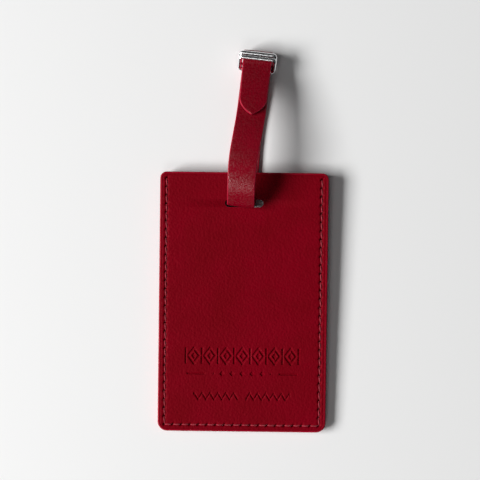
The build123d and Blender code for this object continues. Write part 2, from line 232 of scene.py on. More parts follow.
def smoothstep(value: Array) -> Array:
    """Smooth rise from 0 to 1 as value goes from 0 to 1: three squares less two cubes."""
    clipped = np.clip(value, 0.0, 1.0)
    return clipped * clipped * (3.0 - 2.0 * clipped)


def tube(path: Array, normals: Array, binormals: Array, radii: Array) -> Array:
    """Round tube carried along a path.

    Each ring is the path's point plus radius times cosine along the normal plus radius times
    sine along the binormal.

    Args:
        path: Points, n by 3.
        normals: Unit vectors square to the path, n by 3.
        binormals: Unit vectors square to both, n by 3.
        radii: Radius at each point and side, n by sides.

    Returns:
        Grid of n by sides by 3.
    """
    angle = np.linspace(0, 2 * pi, radii.shape[1], endpoint=False)
    aside = (radii * np.cos(angle))[..., None] * normals[:, None]
    lift = (radii * np.sin(angle))[..., None] * binormals[:, None]
    return path[:, None] + aside + lift


# ---------------------------------------------------------------------------------------------
# Finishes
# ---------------------------------------------------------------------------------------------
Colour = tuple[float, float, float, float]

NOISE_SPAN = (0.35, 0.65)     # most of a noise's values lie between these
WRINKLES_PER_PEBBLE = 2.7
WRINKLE_SHARE = 0.45          # height of the wrinkles to that of the pebbles


def feed(tree: Tree, node: Node, inputs: dict) -> None:
    """Feed a node's sockets: constants are set on them and sockets are linked to them."""
    for name, value in inputs.items():
        if isinstance(value, Socket):
            tree.links.new(value, node.inputs[name])
        else:
            node.inputs[name].default_value = value


def put(tree: Tree, kind: str, inputs: dict | None = None, **settings: object) -> Node:
    """Add a node to a tree.

    Args:
        tree: Tree that takes the node.
        kind: Class name of the node.
        inputs: For each socket by name or number, the value it holds or the socket it is fed by.
        **settings: Properties of the node itself.

    Returns:
        The new node.
    """
    node = tree.nodes.new(kind)
    for name, value in settings.items():
        setattr(node, name, value)
    feed(tree, node, inputs or {})
    return node


def blank_material(name: str) -> tuple[Material, Tree, Node]:
    """New material with its tree and its Principled shader."""
    material = bpy.data.materials.new(name)
    material.use_nodes = True
    tree = material.node_tree
    return material, tree, tree.nodes["Principled BSDF"]


def new_group(name: str, inputs: list[str], outputs: list[str]) -> Tree:
    """Empty shader node group whose sockets all hold a plain value."""
    group = bpy.data.node_groups.new(name, "ShaderNodeTree")
    for label in inputs:
        group.interface.new_socket(label, in_out="INPUT", socket_type="NodeSocketFloat")
    for label in outputs:
        group.interface.new_socket(label, in_out="OUTPUT", socket_type="NodeSocketFloat")
    return group


def maths(tree: Tree, operation: str, first: object, second: object = 0.0) -> Socket:
    """Result of one sum on two values or sockets."""
    return put(tree, "ShaderNodeMath", {0: first, 1: second}, operation=operation).outputs[0]


def object_place(tree: Tree) -> Socket:
    """Place on the piece, in metres."""
    return put(tree, "ShaderNodeTexCoord").outputs["Object"]


def noise(tree: Tree, place: Socket, scale: object, detail: float) -> Socket:
    """Noise with this many features per metre and this many finer layers."""
    return put(tree, "ShaderNodeTexNoise",
               {"Vector": place, "Scale": scale, "Detail": detail}).outputs[0]


def bumps(tree: Tree, height: Socket, strength: float, relief: float) -> Socket:
    """Normal over a height map whose relief is in millimetres."""
    return put(tree, "ShaderNodeBump", {"Height": height, "Strength": strength,
                                        "Distance": relief * MM}).outputs[0]


def grain_group() -> Tree:
    """Grain of finished leather, on Object coordinates.

    The height is mostly the distance to the middle of rounded pebbles, with finer noise on it.
    The mottle is slow noise, for the colour and the gloss. The speck is noise of the pebbles'
    size, for the small bright and dull spots of worn grain.

    Returns:
        Group with inputs Pebbles and Mottles, both per metre.
    """
    found = bpy.data.node_groups.get("leather_grain")
    if found:
        return found
    group = new_group("leather_grain", ["Pebbles", "Mottles"], ["Height", "Mottle", "Speck"])
    given = put(group, "NodeGroupInput").outputs
    place = object_place(group)
    pebbles = put(group, "ShaderNodeTexVoronoi", {"Vector": place, "Scale": given["Pebbles"]},
                  feature="SMOOTH_F1").outputs["Distance"]
    finer = maths(group, "MULTIPLY", given["Pebbles"], WRINKLES_PER_PEBBLE)
    wrinkles = maths(group, "MULTIPLY", noise(group, place, finer, 3.0), WRINKLE_SHARE)
    put(group, "NodeGroupOutput", {"Height": maths(group, "SUBTRACT", wrinkles, pebbles),
                                   "Mottle": noise(group, place, given["Mottles"], 4.0),
                                   "Speck": noise(group, place, given["Pebbles"], 1.0)})
    return group


def between(tree: Tree, value: Socket, low: float, high: float) -> Socket:
    """Noise spread from low to high over the span that it mostly keeps to."""
    start, end = NOISE_SPAN
    return put(tree, "ShaderNodeMapRange", {"Value": value, "From Min": start, "From Max": end,
                                            "To Min": low, "To Max": high}).outputs[0]


def blend(tree: Tree, factor: Socket, first: Colour, second: Colour) -> Socket:
    """Colour that goes from first to second as the factor goes from 0 to 1."""
    return put(tree, "ShaderNodeMix", {0: factor, 6: first, 7: second},
               data_type="RGBA").outputs[2]


@dataclass(frozen=True)
class Leather:
    """Dyed leather, on its grain side, its painted edge or its flesh side.

    Attributes:
        name: Name of the material.
        colour: Colour of the high grain.
        deep: Colour of the mottled, deeper places.
        roughness: Middle roughness.
        swing: How far the roughness goes either way.
        specular: Specular level.
        pebble: Size of the grain, in millimetres.
        mottle: Size of the mottling, in millimetres.
        relief: Height of the grain, in millimetres.
    """

    name: str
    colour: Colour
    deep: Colour
    roughness: float
    swing: float
    specular: float
    pebble: float
    mottle: float
    relief: float

    def material(self) -> Material:
        """Leather with its grain in the bump, and its mottling in the colour and the gloss."""
        material, tree, shader = blank_material(self.name)
        grain = put(tree, "ShaderNodeGroup",
                    {"Pebbles": 1000 / self.pebble, "Mottles": 1000 / self.mottle},
                    node_tree=grain_group()).outputs
        worn = between(tree, grain["Mottle"], 0.0, 1.0)
        speck = between(tree, grain["Speck"], -self.swing, self.swing)
        dull = between(tree, grain["Mottle"], self.roughness + self.swing / 2,
                       self.roughness - self.swing / 2)
        feed(tree, shader, {
            "Base Color": blend(tree, worn, self.deep, self.colour),
            "Roughness": maths(tree, "ADD", dull, speck),
            "Normal": bumps(tree, grain["Height"], 1.0, self.relief),
            "Specular IOR Level": self.specular})
        return material


@dataclass(frozen=True)
class Thread:
    """Waxed sewing thread, a little fluffy."""

    name: str = "waxed_thread"
    colour: Colour = (0.36, 0.014, 0.036, 1)
    deep: Colour = (0.22, 0.004, 0.014, 1)

    def material(self) -> Material:
        """Thread with fibres in its colour and its bump."""
        material, tree, shader = blank_material(self.name)
        place = object_place(tree)
        fibres = noise(tree, place, 9000.0, 3.0)
        shade = between(tree, noise(tree, place, 1800.0, 1.0), 0.0, 1.0)
        feed(tree, shader, {
            "Base Color": blend(tree, shade, self.deep, self.colour),
            "Roughness": between(tree, fibres, 0.5, 0.75),
            "Normal": bumps(tree, fibres, 0.8, 0.03),
            "Specular IOR Level": 0.35, "Sheen Weight": 0.2})
        return material


@dataclass(frozen=True)
class Plating:
    """Bright nickel plating with faint smudges and polishing marks."""

    name: str = "bright_plating"
    colour: Colour = (0.95, 0.955, 0.96, 1)
    dull: Colour = (0.84, 0.845, 0.86, 1)

    def material(self) -> Material:
        """Plating whose gloss and colour vary a little from place to place."""
        material, tree, shader = blank_material(self.name)
        place = object_place(tree)
        smudge = noise(tree, place, 420.0, 5.0)
        clean = between(tree, smudge, 0.0, 1.0)
        feed(tree, shader, {
            "Metallic": 1.0,
            "Base Color": blend(tree, clean, self.dull, self.colour),
            "Roughness": between(tree, smudge, 0.26, 0.14),
            "Normal": bumps(tree, noise(tree, place, 5200.0, 2.0), 0.35, 0.004)})
        return material


@dataclass(frozen=True)
class ClearFilm:
    """Clear flexible window film with faint ripples and handling marks.

    Attributes:
        name: Name of the material.
        colour: Tint of the film.
        cover: How much of what is behind it a clean film hides.
        haze: How much more the handling marks hide.
    """

    name: str = "window_film"
    colour: Colour = (0.86, 0.88, 0.89, 1)
    cover: float = 0.16
    haze: float = 0.06

    def material(self) -> Material:
        """Film that mostly shows what is behind it."""
        material, tree, shader = blank_material(self.name)
        place = object_place(tree)
        marks = noise(tree, place, 900.0, 6.0)
        feed(tree, shader, {
            "Base Color": self.colour,
            "Roughness": between(tree, marks, 0.06, 0.2),
            "Alpha": between(tree, marks, self.cover, self.cover + self.haze),
            "Normal": bumps(tree, noise(tree, place, 70.0, 1.0), 0.5, 0.25),
            "Specular IOR Level": 0.6})
        return material


@dataclass(frozen=True)
class CardStock:
    """Uncoated card with plain ruled lines to write on.

    Attributes:
        name: Name of the material.
        paper: Colour of the card.
        ink: Colour of the lines.
        pitch: Line to line, in millimetres.
        rule: Thickness of a line, in millimetres.
        reach: Half of a line's length, in millimetres.
    """

    name: str = "card_stock"
    paper: Colour = (0.80, 0.78, 0.72, 1)
    ink: Colour = (0.22, 0.24, 0.28, 1)
    pitch: float = 9.0
    rule: float = 0.28
    reach: float = 19.0

    def material(self) -> Material:
        """Card whose lines stand where the remainder of Y by the pitch is under the rule."""
        material, tree, shader = blank_material(self.name)
        place = object_place(tree)
        axis = put(tree, "ShaderNodeSeparateXYZ", {0: place}).outputs
        past = maths(tree, "ABSOLUTE", maths(tree, "MODULO", axis[1], self.pitch * MM))
        line = maths(tree, "LESS_THAN", past, self.rule * MM)
        aside = maths(tree, "ABSOLUTE", axis[0])
        inside = maths(tree, "LESS_THAN", aside, self.reach * MM)
        fibre = noise(tree, place, 2600.0, 4.0)
        feed(tree, shader, {
            "Base Color": blend(tree, maths(tree, "MULTIPLY", line, inside), self.paper, self.ink),
            "Roughness": between(tree, fibre, 0.7, 0.9),
            "Normal": bumps(tree, fibre, 0.4, 0.02)})
        return material


class Hide(Enum):
    """The leathers of this object. The edge colours are brighter than the edge paint alone:
    painted light for the light that the lit edges catch.
    """

    TAG_GRAIN = Leather("tag_grain", (0.184, 0.0002, 0.0066, 1), (0.158, 0.0001, 0.0045, 1),
                        0.55, 0.12, 0.04, 0.85, 14.0, 0.14)
    # Tag edge: edge paint, a brighter red than the grain, with its colour raised further as
    # painted light for the light on the lit edges
    TAG_EDGE = Leather("tag_edge_paint_and_light", (0.33, 0.003, 0.020, 1), (0.26, 0.001, 0.012, 1),
                       0.48, 0.08, 0.10, 0.8, 5.0, 0.03)
    TAG_FLESH = Leather("tag_flesh", (0.21, 0.010, 0.018, 1), (0.15, 0.004, 0.010, 1),
                        0.82, 0.06, 0.2, 0.5, 4.0, 0.08)
    STRAP_GRAIN = Leather("strap_grain", (0.190, 0.0003, 0.0085, 1), (0.162, 0.0001, 0.0060, 1),
                          0.29, 0.16, 0.38, 0.7, 9.0, 0.12)
    # Strap edge: edge paint, a brighter red than the grain, with its colour raised further as
    # painted light for the light on the lit edges
    STRAP_EDGE = Leather("strap_edge_paint_and_light", (0.36, 0.008, 0.030, 1), (0.28, 0.004, 0.020, 1),
                         0.45, 0.08, 0.15, 0.8, 4.0, 0.03)
    STRAP_FLESH = Leather("strap_flesh", (0.22, 0.010, 0.018, 1), (0.16, 0.004, 0.010, 1),
                          0.82, 0.06, 0.2, 0.45, 3.0, 0.08)
    SPACER_EDGE = Leather("spacer_edge", (0.19, 0.002, 0.012, 1), (0.15, 0.001, 0.008, 1),
                          0.55, 0.08, 0.3, 0.8, 4.0, 0.03)


def made_once(finish: Leather | Thread | Plating) -> Material:
    """Material of a finish, made the first time that it is asked for."""
    return bpy.data.materials.get(finish.name) or finish.material()


def hides(*wanted: Hide) -> list[Material]:
    """Materials of these leathers."""
    return [made_once(hide.value) for hide in wanted]


# ---------------------------------------------------------------------------------------------
# Outlines
# ---------------------------------------------------------------------------------------------
def rounded_outline(low: tuple[float, float], high: tuple[float, float],
                    radii: tuple[float, float], spacing: float,
                    arc_points: int = 13) -> tuple[Array, Array]:
    """Rounded rectangle as a closed loop, anticlockwise, with its inward normals.

    Each corner is its centre plus the radius times cosine and sine of the angle, and each side
    between two corners is divided evenly.

    Args:
        low: Lower left corner.
        high: Upper right corner.
        radii: Radius of the lower corners and of the upper corners.
        spacing: Point to point along the sides.
        arc_points: Points in each corner.

    Returns:
        The points and the inward unit normals, each n by 2.
    """
    (left, bottom), (right, top) = low, high
    lower, upper = radii
    corners = [(right - lower, bottom + lower, lower, -90.0),
               (right - upper, top - upper, upper, 0.0),
               (left + upper, top - upper, upper, 90.0),
               (left + lower, bottom + lower, lower, 180.0)]
    arcs = []
    for x, y, radius, start in corners:
        angle = np.radians(np.linspace(start, start + 90, arc_points))
        out = np.column_stack([np.cos(angle), np.sin(angle)])
        arcs.append((np.array([x, y]) + radius * out, -out))
    points, normals = [], []
    for (arc, inward), (after, _) in zip(arcs, arcs[1:] + arcs[:1]):
        gap = after[0] - arc[-1]
        count = max(2, int(hypot(*gap) / spacing))
        part = np.linspace(0, 1, count + 1)[1:-1, None]
        points += [arc, arc[-1] + gap * part]
        normals += [inward, np.repeat(inward[-1:], count - 1, axis=0)]
    return np.vstack(points), np.vstack(normals)


def stadium(middle_y: float, length: float, width: float, grow: float,
            arc_points: int = 19) -> Array:
    """Stadium as a closed loop: two half circles about the ends of its middle line.

    Args:
        middle_y: Height of the middle line.
        length: Overall length of the stadium.
        width: Its width.
        grow: Offset of the loop outwards.
        arc_points: Points in each half circle.

    Returns:
        Points, n by 2.
    """
    reach = (length - width) / 2
    angle = np.radians(np.linspace(-90, 90, arc_points))
    half = np.column_stack([np.cos(angle), np.sin(angle)]) * (width / 2 + grow)
    right = half + [reach, middle_y]
    left = -half + [-reach, middle_y]
    return np.vstack([right, left])


def distinct(loop: Array) -> Array:
    """Closed loop without the points that repeat the point before them."""
    step = np.abs(loop - np.roll(loop, 1, axis=0)).max(axis=1)
    return loop[step > 1e-4]


# ---------------------------------------------------------------------------------------------
# Tag
# ---------------------------------------------------------------------------------------------
# Quarter circle of the outer edge, in degrees from the wall to the face
EDGE_ANGLES = (0, 22.5, 45, 67.5, 90)
# Rows of the sewn border from the tag's edge, closer together over the crease and the seam
BORDER_OFFSETS = (0.76, 0.86, 0.95, 1.04, 1.13, 1.22, 1.34, 1.5, 1.7, 1.9, 2.06, 2.2, 2.33, 2.46,
                  2.58, 2.69)
# Rows from the last of those to the rectangle inside the border, as parts of the way
INNER_PARTS = (0.05, 0.1, 0.16, 0.22, 0.3, 0.42, 0.6, 1.0)
# Lip of the slot: offset outwards and depth below the face
SLOT_LIP = ((0.22, 0.0), (0.10, 0.04), (0.03, 0.12), (0.0, 0.26))
# Lip of the window, the same
WINDOW_LIP = ((0.55, 0.0), (0.42, 0.06), (0.3, 0.07), (0.16, 0.05), (0.05, 0.16), (0.0, 0.34))


@dataclass(frozen=True)
class TagForm:
    """Sizes that the layers of the tag share, in millimetres.

    Attributes:
        width: Overall width.
        height: Overall height.
        bottom_corner: Corner radius at the sewn end.
        top_corner: Corner radius at the open end.
        back: Thickness of the back leather.
        pocket: Depth of the pocket.
        front: Thickness of the front leather.
        slot_y: Middle of the slot.
        slot_length: Overall length of the slot.
        slot_width: Width of the slot.
        seam_half: Middle of the tag to either side seam.
        seam_low: Height of the bottom seam.
        seam_top: Height of the first hole.
        side_stitches: Stitches down each side.
        foot_stitches: Stitches along the bottom.
        edge_round: Rounding of the outer edges.
        face_start: Rounded edge to the start of the face.
        crease: Edge to the creased line.
        crease_reach: Half width of that line.
        crease_depth: Depth of that line.
        groove_reach: Half width of the stitching groove.
        awl_length: Length of a hole's dip, times the square root of two.
        awl_width: Width of that dip, on the same scale.
        awl_depth: Depth of that dip.
        spacing: Point to point along the border's mesh.
        margin: Edge to the inside of the border's mesh.
    """

    width: float = 70.0
    height: float = 108.0
    bottom_corner: float = 4.0
    top_corner: float = 2.7
    back: float = 1.6
    pocket: float = 0.8
    front: float = 1.6
    slot_y: float = 95.2
    slot_length: float = 16.0
    slot_width: float = 3.287
    seam_half: float = 32.2
    seam_low: float = 2.8
    seam_top: float = 105.4
    side_stitches: int = 29
    foot_stitches: int = 18
    edge_round: float = 0.5
    face_start: float = 0.12
    crease: float = 1.05
    crease_reach: float = 0.13
    crease_depth: float = 0.09
    groove_reach: float = 0.50
    awl_length: float = 0.95
    awl_width: float = 0.48
    awl_depth: float = 0.9
    spacing: float = 0.25
    margin: float = 5.0

    @property
    def thickness(self) -> float:
        """Thickness of the whole tag."""
        return self.back + self.pocket + self.front

    @property
    def side_pitch(self) -> float:
        """Hole to hole down the sides."""
        return (self.seam_top - self.seam_low) / self.side_stitches

    @property
    def foot_pitch(self) -> float:
        """Hole to hole along the bottom."""
        return 2 * self.seam_half / self.foot_stitches

    def place(self) -> Place:
        """Where the flat tag stands."""
        return tag_place(self.slot_y, self.thickness / 2)

    def outline(self) -> tuple[Array, Array]:
        """Outline of the tag with its inward normals."""
        half = self.width / 2
        return rounded_outline((-half, 0.0), (half, self.height),
                               (self.bottom_corner, self.top_corner), self.spacing)

    def inner_outline(self) -> Array:
        """Rectangle inside the border, matched point by point to the outline."""
        points, _ = self.outline()
        low = [-self.width / 2 + self.margin, self.margin]
        high = [self.width / 2 - self.margin, self.height - self.margin]
        return np.clip(points, low, high)

    def slot(self, grow: float) -> Array:
        """Loop of the slot, offset outwards."""
        return stadium(self.slot_y, self.slot_length, self.slot_width, grow)

    def seam_dip(self, x: Array, y: Array, depth: float) -> Array:
        """Depth of the stitching groove and its holes at points of a face.

        The groove falls off with the square of the distance to the seam, as a bell curve, and
        every slanted hole adds its own.

        Args:
            x: Across the tag.
            y: Up the tag.
            depth: Depth of the groove.

        Returns:
            Depth below the face.
        """
        aside = np.abs(x) - self.seam_half
        past_side = np.maximum(np.maximum(y - self.seam_top, self.seam_low - y), 0)
        past_foot = np.maximum(aside, 0)
        below = y - self.seam_low
        line = np.minimum(np.hypot(aside, past_side), np.hypot(below, past_foot))
        groove = depth * np.exp(-(line / self.groove_reach) ** 2)
        up = np.clip(np.round((self.seam_top - y) / self.side_pitch), 0, self.side_stitches)
        over = np.clip(np.round((x + self.seam_half) / self.foot_pitch), 0, self.foot_stitches)
        side_hole = self.awl(aside * np.sign(x), y - self.seam_top + up * self.side_pitch)
        foot_hole = self.awl(x + self.seam_half - over * self.foot_pitch, below)
        return groove + np.maximum(side_hole, foot_hole)

    def awl(self, x: Array, y: Array) -> Array:
        """Dip of a slanted awl hole, as a bell curve that is longer along its diagonal.

        Args:
            x: Offset from the hole to the right.
            y: Offset from the hole upwards.

        Returns:
            Depth of the dip.
        """
        long, short = (x + y) / self.awl_length, (x - y) / self.awl_width
        return self.awl_depth * np.exp(-long ** 2 - short ** 2)

    def border(self, surface: Surface, wall_z: float, face_z: float, groove: float) -> Array:
        """Outer wall, rounded edge and sewn border of an outer layer.

        Rows run from the wall over a quarter circle onto the face and inwards across the crease
        and the seam, then straight to the rectangle inside the border.

        Args:
            surface: Surface that takes them.
            wall_z: Height of the inside of the layer.
            face_z: Height of its outer face.
            groove: Depth of the stitching groove.

        Returns:
            The loop inside the border, at the height of the face.
        """
        points, inward = self.outline()
        up = 1.0 if face_z > wall_z else -1.0
        radius = self.edge_round
        start = radius + self.face_start
        edge = [(0.0, wall_z)]
        edge += [(radius * (1 - cos(a)), face_z - up * radius * (1 - sin(a)))
                 for a in np.radians(EDGE_ANGLES)]
        edge += [(start, face_z)]
        rows = [at_height(points + inward * offset, z) for offset, z in edge]
        surface.grid(np.array(rows), Finish.EDGE, closed=True)
        inner = self.inner_outline()
        last = points + inward * BORDER_OFFSETS[-1]
        rows = [at_height(points + inward * start, face_z)]
        for offset in BORDER_OFFSETS:
            loop = points + inward * offset
            dip = self.seam_dip(loop[:, 0], loop[:, 1], groove)
            dip += self.crease_depth * exp(-((offset - self.crease) / self.crease_reach) ** 2)
            rows.append(np.column_stack([loop, face_z - up * dip]))
        for part in INNER_PARTS:
            loop = last + (inner - last) * part
            dip = self.seam_dip(loop[:, 0], loop[:, 1], groove) if part < 1 else 0 * loop[:, 0]
            rows.append(np.column_stack([loop, face_z - up * dip]))
        surface.grid(np.array(rows), Finish.FACE, closed=True)
        return at_height(distinct(inner), face_z)

    def slot_wall(self, surface: Surface, wall_z: float, face_z: float) -> None:
        """Cut edge of the slot: rows from the face over a small lip down to the inside."""
        up = 1.0 if face_z > wall_z else -1.0
        rows = [(grow, face_z - up * depth) for grow, depth in SLOT_LIP] + [(0.0, wall_z)]
        loops = [at_height(self.slot(grow), z) for grow, z in rows]
        surface.grid(np.array(loops), Finish.EDGE, closed=True)

    def slot_mouth(self, z: float) -> Array:
        """Loop where the slot's lip meets a face, at the height of the face."""
        return at_height(self.slot(SLOT_LIP[0][0]), z)

    def inside_face(self, surface: Surface, z: float, *holes: Array) -> None:
        """Add the flesh side of an outer layer, with the slot and other holes in it."""
        outline, _ = self.outline()
        surface.fill([at_height(outline, z), *holes, at_height(self.slot(0.0), z)], Finish.FLESH)


@dataclass(frozen=True)
class Motif:
    """Plain geometric ornament that is pressed into the front, in millimetres.

    It has a frieze of lozenge rings and bars, a line of dots between two rules, and a zigzag.

    Attributes:
        depth: Depth of the impression.
        slope: Width of its sloping walls.
        low: Lower left corner of the dense mesh round it.
        high: Upper right corner of that mesh.
        cell: Size of its cells.
        frieze_y: Middle of the frieze.
        frieze_half: Half of its length.
        frieze_units: Lozenges in it.
        lozenge: Half width and half height of a lozenge, and its distances' scale.
        kernel: The same for the small lozenge inside it.
        ring: Half of the stroke of a lozenge ring.
        bar: Half width and half height of a bar between lozenges.
        rule_y: Height of the rules and dots.
        rule: Half thickness, half length and middle of a rule.
        dots: Pitch, half size and scale of the dots, and half the length of their row.
        zigzag_y: Height of the zigzag.
        zigzag_half: Half of its length.
        zigzag_gap: Half of its break in the middle.
        zigzag_pitch: Point to point.
        zigzag_rise: Height of a point to a quarter of the pitch.
        zigzag_stroke: Half of its stroke, and its distances' scale.
    """

    depth: float = 0.40
    slope: float = 0.24
    low: tuple[float, float] = (-26.0, 10.5)
    high: tuple[float, float] = (26.0, 37.5)
    cell: float = 0.22
    frieze_y: float = 31.6
    frieze_half: float = 23.5
    frieze_units: int = 7
    lozenge: tuple[float, float, float] = (2.35, 3.1, 1.87)
    kernel: tuple[float, float, float] = (0.95, 1.25, 0.76)
    ring: float = 0.46
    bar: tuple[float, float] = (0.42, 3.3)
    rule_y: float = 24.2
    rule: tuple[float, float, float] = (0.26, 3.8, 19.2)
    dots: tuple[float, float, float, float] = (4.2, 0.95, 0.72, 12.0)
    zigzag_y: float = 14.7
    zigzag_half: float = 20.2
    zigzag_gap: float = 1.65
    zigzag_pitch: float = 3.3
    zigzag_rise: float = 1.6
    zigzag_stroke: tuple[float, float] = (0.27, 0.55)

    def frieze(self, x: Array, y: Array) -> Array:
        """Distance to the frieze's strokes: lozenge rings, their kernels and bars, repeated."""
        unit = 2 * self.frieze_half / self.frieze_units
        u = np.abs(np.mod(x + self.frieze_half, unit) - unit / 2)
        v = np.abs(y - self.frieze_y)
        lozenge, kernel = ((u / wide + v / high - 1) * scale
                           for wide, high, scale in (self.lozenge, self.kernel))
        bar_wide, bar_high = self.bar
        bar = np.maximum(unit / 2 - u - bar_wide, v - bar_high)
        strokes = np.minimum(np.minimum(np.abs(lozenge) - self.ring, kernel), bar)
        return np.maximum(strokes, np.abs(x) - self.frieze_half - bar_wide)

    def rule_line(self, x: Array, y: Array) -> Array:
        """Distance to the two thin rules and the row of dots between them."""
        v = np.abs(y - self.rule_y)
        thick, long, middle = self.rule
        rule = np.maximum(v - thick, np.abs(np.abs(x) - middle) - long)
        pitch, size, scale, row = self.dots
        u = np.abs(np.mod(x + pitch / 2, pitch) - pitch / 2)
        dots = np.maximum((u + v - size) * scale, np.abs(x) - row)
        return np.minimum(rule, dots)

    def zigzag(self, x: Array, y: Array) -> Array:
        """Distance to the zigzag: a triangle wave's stroke, broken in the middle."""
        pitch = self.zigzag_pitch
        half_stroke, scale = self.zigzag_stroke
        wave = np.abs(np.mod(x, pitch) - pitch / 2) - pitch / 4
        stroke = np.abs(y - self.zigzag_y - self.zigzag_rise * wave) * scale - half_stroke
        ends = np.maximum(np.abs(x) - self.zigzag_half, self.zigzag_gap - np.abs(x))
        return np.maximum(stroke, ends)

    def pressed(self, x: Array, y: Array) -> Array:
        """Depth of the impression: full inside a stroke, none outside, a smooth wall between."""
        strokes = np.minimum(self.frieze(x, y), self.rule_line(x, y))
        strokes = np.minimum(strokes, self.zigzag(x, y))
        return self.depth * smoothstep(0.5 - strokes / self.slope)

    def patch(self, face_z: float) -> tuple[Array, Array]:
        """Dense mesh of the face round the motif.

        Args:
            face_z: Height of the plain face.

        Returns:
            Its grid, and its boundary as a closed loop.
        """
        (left, low), (right, high) = self.low, self.high
        xs = np.linspace(left, right, int((right - left) / self.cell) + 1)
        ys = np.linspace(low, high, int((high - low) / self.cell) + 1)
        x, y = np.meshgrid(xs, ys)
        grid = np.stack([x, y, face_z - self.pressed(x, y)], axis=2)
        loop = np.vstack([grid[0, :-1], grid[:-1, -1], grid[-1, :0:-1], grid[:0:-1, 0]])
        return grid, loop


@dataclass(frozen=True)
class FrontPanel:
    """Front leather with its creased, sewn border, its slot and its pressed ornament."""

    form: TagForm
    motif: Motif = Motif()
    groove: float = 0.26

    def build(self) -> None:
        """Make the closed shell of the panel."""
        surface = Surface()
        inside = self.form.back + self.form.pocket
        face = self.form.thickness
        inner = self.form.border(surface, inside, face, self.groove)
        patch, patch_loop = self.motif.patch(face)
        surface.grid(patch)
        self.form.slot_wall(surface, inside, face)
        surface.fill([inner, patch_loop, self.form.slot_mouth(face)])
        self.form.inside_face(surface, inside)
        piece = surface.build("front_leather", self.form.place(),
                              hides(Hide.TAG_GRAIN, Hide.TAG_EDGE, Hide.TAG_FLESH))
        settle(piece, "tag", "tag_leather", "front_panel")


@dataclass(frozen=True)
class BackPanel:
    """Back leather with its sewn border, its slot and the window with the film's recess.

    Attributes:
        form: Sizes of the tag.
        groove: Depth of the stitching groove.
        window_low: Lower left corner of the window.
        window_high: Upper right corner of the window.
        window_corner: Corner radius of the window.
        window_spacing: Point to point along the window's sides.
        film: Thickness of the film.
        film_round: Softening of the film's edge.
        lap: Film that lies behind the window's edge.
        play: Room round the film in its recess.
    """

    form: TagForm
    groove: float = 0.5
    window_low: tuple[float, float] = (-23.5, 13.0)
    window_high: tuple[float, float] = (23.5, 82.956)
    window_corner: float = 3.0
    window_spacing: float = 1.5
    film: float = 0.3
    film_round: float = 0.08
    lap: float = 2.6
    play: float = 0.1

    def window(self, grow: float) -> Array:
        """Loop of the window, offset outwards along its normals."""
        points, inward = rounded_outline(self.window_low, self.window_high,
                                         (self.window_corner, self.window_corner),
                                         self.window_spacing)
        return points - inward * grow

    def build(self) -> None:
        """Make the closed shell of the panel."""
        surface = Surface()
        inside = self.form.back
        ledge = inside - self.film
        inner = self.form.border(surface, inside, 0.0, self.groove)
        self.form.slot_wall(surface, inside, 0.0)
        shelf = self.lap + self.play
        for rows, finish in (((*WINDOW_LIP, (0.0, ledge)), Finish.EDGE),
                             (((0.0, ledge), (shelf, ledge), (shelf, inside)), Finish.FLESH)):
            surface.grid(np.array([at_height(self.window(grow), z) for grow, z in rows]), finish,
                         closed=True)
        mouth = at_height(self.window(WINDOW_LIP[0][0]), 0.0)
        surface.fill([inner, mouth, self.form.slot_mouth(0.0)])
        self.form.inside_face(surface, inside, at_height(self.window(shelf), inside))
        piece = surface.build("back_leather", self.form.place(),
                              hides(Hide.TAG_GRAIN, Hide.TAG_EDGE, Hide.TAG_FLESH))
        settle(piece, "tag", "tag_leather", "back_panel")

    def build_film(self) -> None:
        """Make the clear film: two faces joined by a rounded edge."""
        surface = Surface()
        low, high = self.form.back - self.film, self.form.back
        soft = self.film_round
        rows = [(self.lap - soft, low), (self.lap, low + soft), (self.lap, high - soft),
                (self.lap - soft, high)]
        surface.slab([at_height(self.window(grow), z) for grow, z in rows])
        piece = surface.build("film", self.form.place(), [ClearFilm().material()])
        settle(piece, "tag", "clear_film", "window_film")


@dataclass(frozen=True)
class PocketFiller:
    """U-shaped filler between the panels; its outer edge shows as the middle layer.

    Attributes:
        form: Sizes of the tag.
        leg: Width of the U's legs.
        inset: How far its outer edge stands back from the panels' edges.
    """

    form: TagForm
    leg: float = 5.0
    inset: float = 0.07

    def build(self) -> None:
        """Make the U: the outline, cut by the pocket's three sides, carried up its thickness."""
        outline, inward = self.form.outline()
        pocket = self.form.width / 2 - self.leg
        kept = ~((np.abs(outline[:, 0]) < pocket) & (outline[:, 1] > self.form.height - 0.01))
        first = int(np.argmax(~kept))
        around = np.roll(outline + inward * self.inset, -first, axis=0)[np.roll(kept, -first)]
        top = self.form.height - self.inset
        ends = np.array([(-pocket, top), (-pocket, self.leg), (pocket, self.leg), (pocket, top)])
        start = around[0]
        loop = np.vstack([around, ends if start[0] > 0 else ends[::-1]])
        low, high = self.form.back, self.form.back + self.form.pocket
        surface = Surface()
        surface.slab([at_height(loop, z) for z in (low, high)], Finish.EDGE)
        piece = surface.build("pocket_filler", self.form.place(),
                              hides(Hide.SPACER_EDGE, Hide.TAG_FLESH))
        settle(piece, "tag", "spacer_leather", "pocket_spacer")


